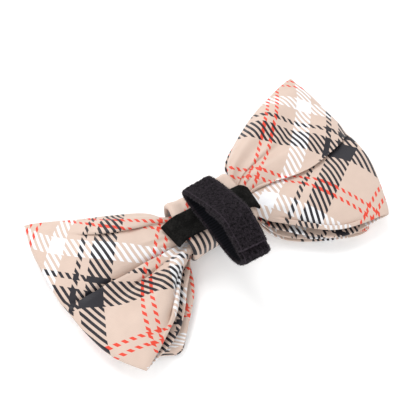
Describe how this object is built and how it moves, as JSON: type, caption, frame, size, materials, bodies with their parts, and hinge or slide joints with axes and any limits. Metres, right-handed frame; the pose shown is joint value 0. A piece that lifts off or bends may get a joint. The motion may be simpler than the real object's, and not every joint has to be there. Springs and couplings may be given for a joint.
{
  "type": "pet bow tie collar",
  "caption": "Pet bow tie of layered, gathered cloth bows in a knot band, lying on its face, with a felt strip and a closed hook-and-loop strap on its back.",
  "frame": {"origin": "middle of the bow's footprint, on the table that it lies on", "axes": "+X along the bow, +Y across it towards the far bend of the strap, +Z out of the bow's back, away from the table"},
  "size_m": [0.1376, 0.0748, 0.0407],
  "materials": {
    "bow_cloth": "satin",
    "felt": "matte",
    "strap_tape": "matte"
  },
  "bodies": {
    "root": {"back_bow": "bow_cloth", "front_bow": "bow_cloth", "knot_band": "bow_cloth", "felt_strip": "felt", "strap": "strap_tape"}
  },
  "joints": []
}
